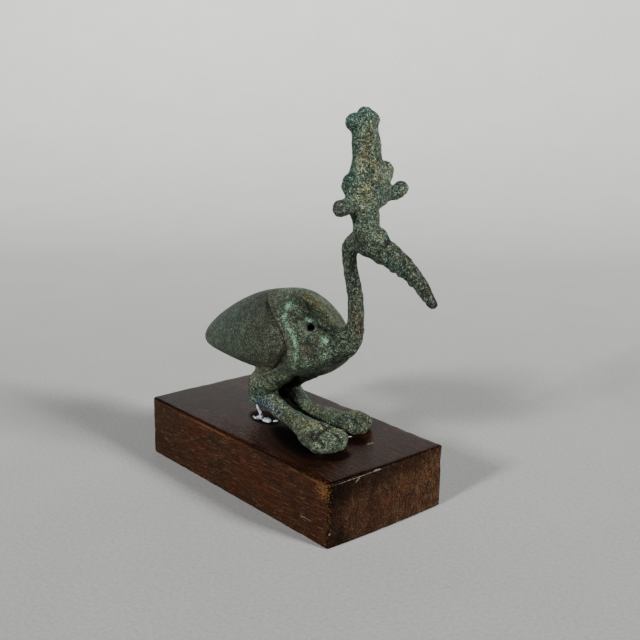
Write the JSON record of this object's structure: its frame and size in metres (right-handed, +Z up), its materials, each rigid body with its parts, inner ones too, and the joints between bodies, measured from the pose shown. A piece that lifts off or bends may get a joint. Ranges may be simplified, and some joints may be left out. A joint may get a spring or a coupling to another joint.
{
  "type": "ibis statuette",
  "caption": "Small cast bronze ibis with a long curved beak and a tall horned crown, squatting on a rectangular varnished wooden block, held by a dab of clear glue.",
  "frame": {"origin": "centre of the wooden block's underside", "axes": "+Z up, +X the way the bird faces along the block's long side, +Y to the bird's left"},
  "size_m": [0.1058, 0.046, 0.1195],
  "materials": {
    "bronze": "grainy grey-green patina with teal and ochre patches, smoother on the wings",
    "varnished_wood": "dark reddish-brown satin varnish, worn on the edges",
    "clear_glue": "clear glossy adhesive"
  },
  "bodies": {
    "root": {"ibis": "bronze", "wooden_base": "varnished_wood", "mounting_glue": "clear_glue"}
  },
  "joints": []
}
